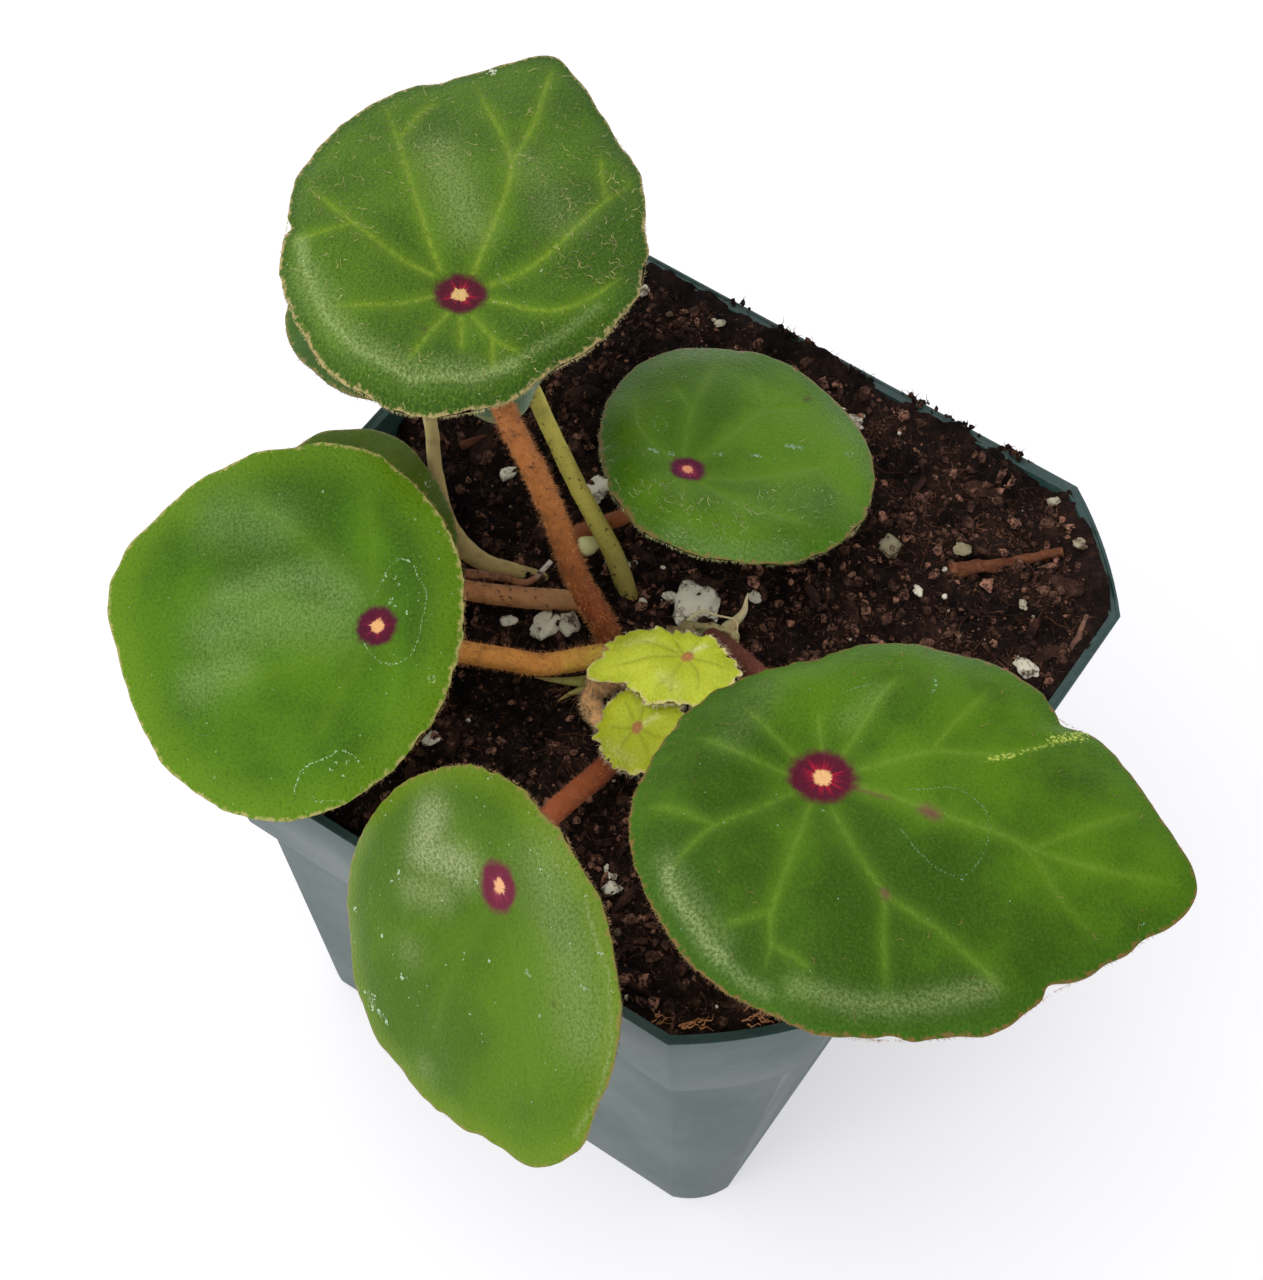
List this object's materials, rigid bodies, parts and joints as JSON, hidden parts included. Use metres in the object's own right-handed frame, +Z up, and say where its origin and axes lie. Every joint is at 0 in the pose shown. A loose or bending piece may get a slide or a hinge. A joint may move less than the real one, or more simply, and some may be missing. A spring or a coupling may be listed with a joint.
{
  "type": "potted zip begonia",
  "caption": "Young begonia with round shield-shaped green leaves that have a crimson eye over each hairy stalk, in a dark green square nursery pot filled with potting mix.",
  "frame": {"origin": "centre of the pot's underside", "axes": "+Z up; the pot's four flat sides face +X, -X, +Y and -Y, and the largest leaf leans out to +X and -Y"},
  "size_m": [0.1432, 0.1225, 0.1275],
  "materials": {
    "pot_plastic": "satin",
    "potting_mix": "matte",
    "rhizome": "matte",
    "bark": "matte",
    "blade_green": "satin",
    "blade_olive": "satin",
    "blade_young": "satin",
    "stalk_russet": "matte",
    "stalk_pale": "matte"
  },
  "bodies": {
    "root": {"pot": "pot_plastic", "soil": "potting_mix", "rhizome": "rhizome", "bark_stick": "bark", "dry_stipule": "bark", "blade_top": "blade_green", "stalk_top": "stalk_russet", "blade_left": "blade_green", "stalk_left": "stalk_russet", "blade_bottom": "blade_green", "stalk_bottom": "stalk_russet", "blade_right": "blade_green", "stalk_right": "stalk_russet", "blade_middle": "blade_green", "stalk_middle": "stalk_russet", "blade_left_back": "blade_olive", "stalk_left_back": "stalk_russet", "blade_top_back": "blade_green", "stalk_top_back": "stalk_pale", "blade_top_under": "blade_olive", "stalk_top_under": "stalk_pale", "blade_young_upper": "blade_young", "stalk_young_upper": "stalk_pale", "blade_young_lower": "blade_young", "stalk_young_lower": "stalk_russet"}
  },
  "joints": []
}
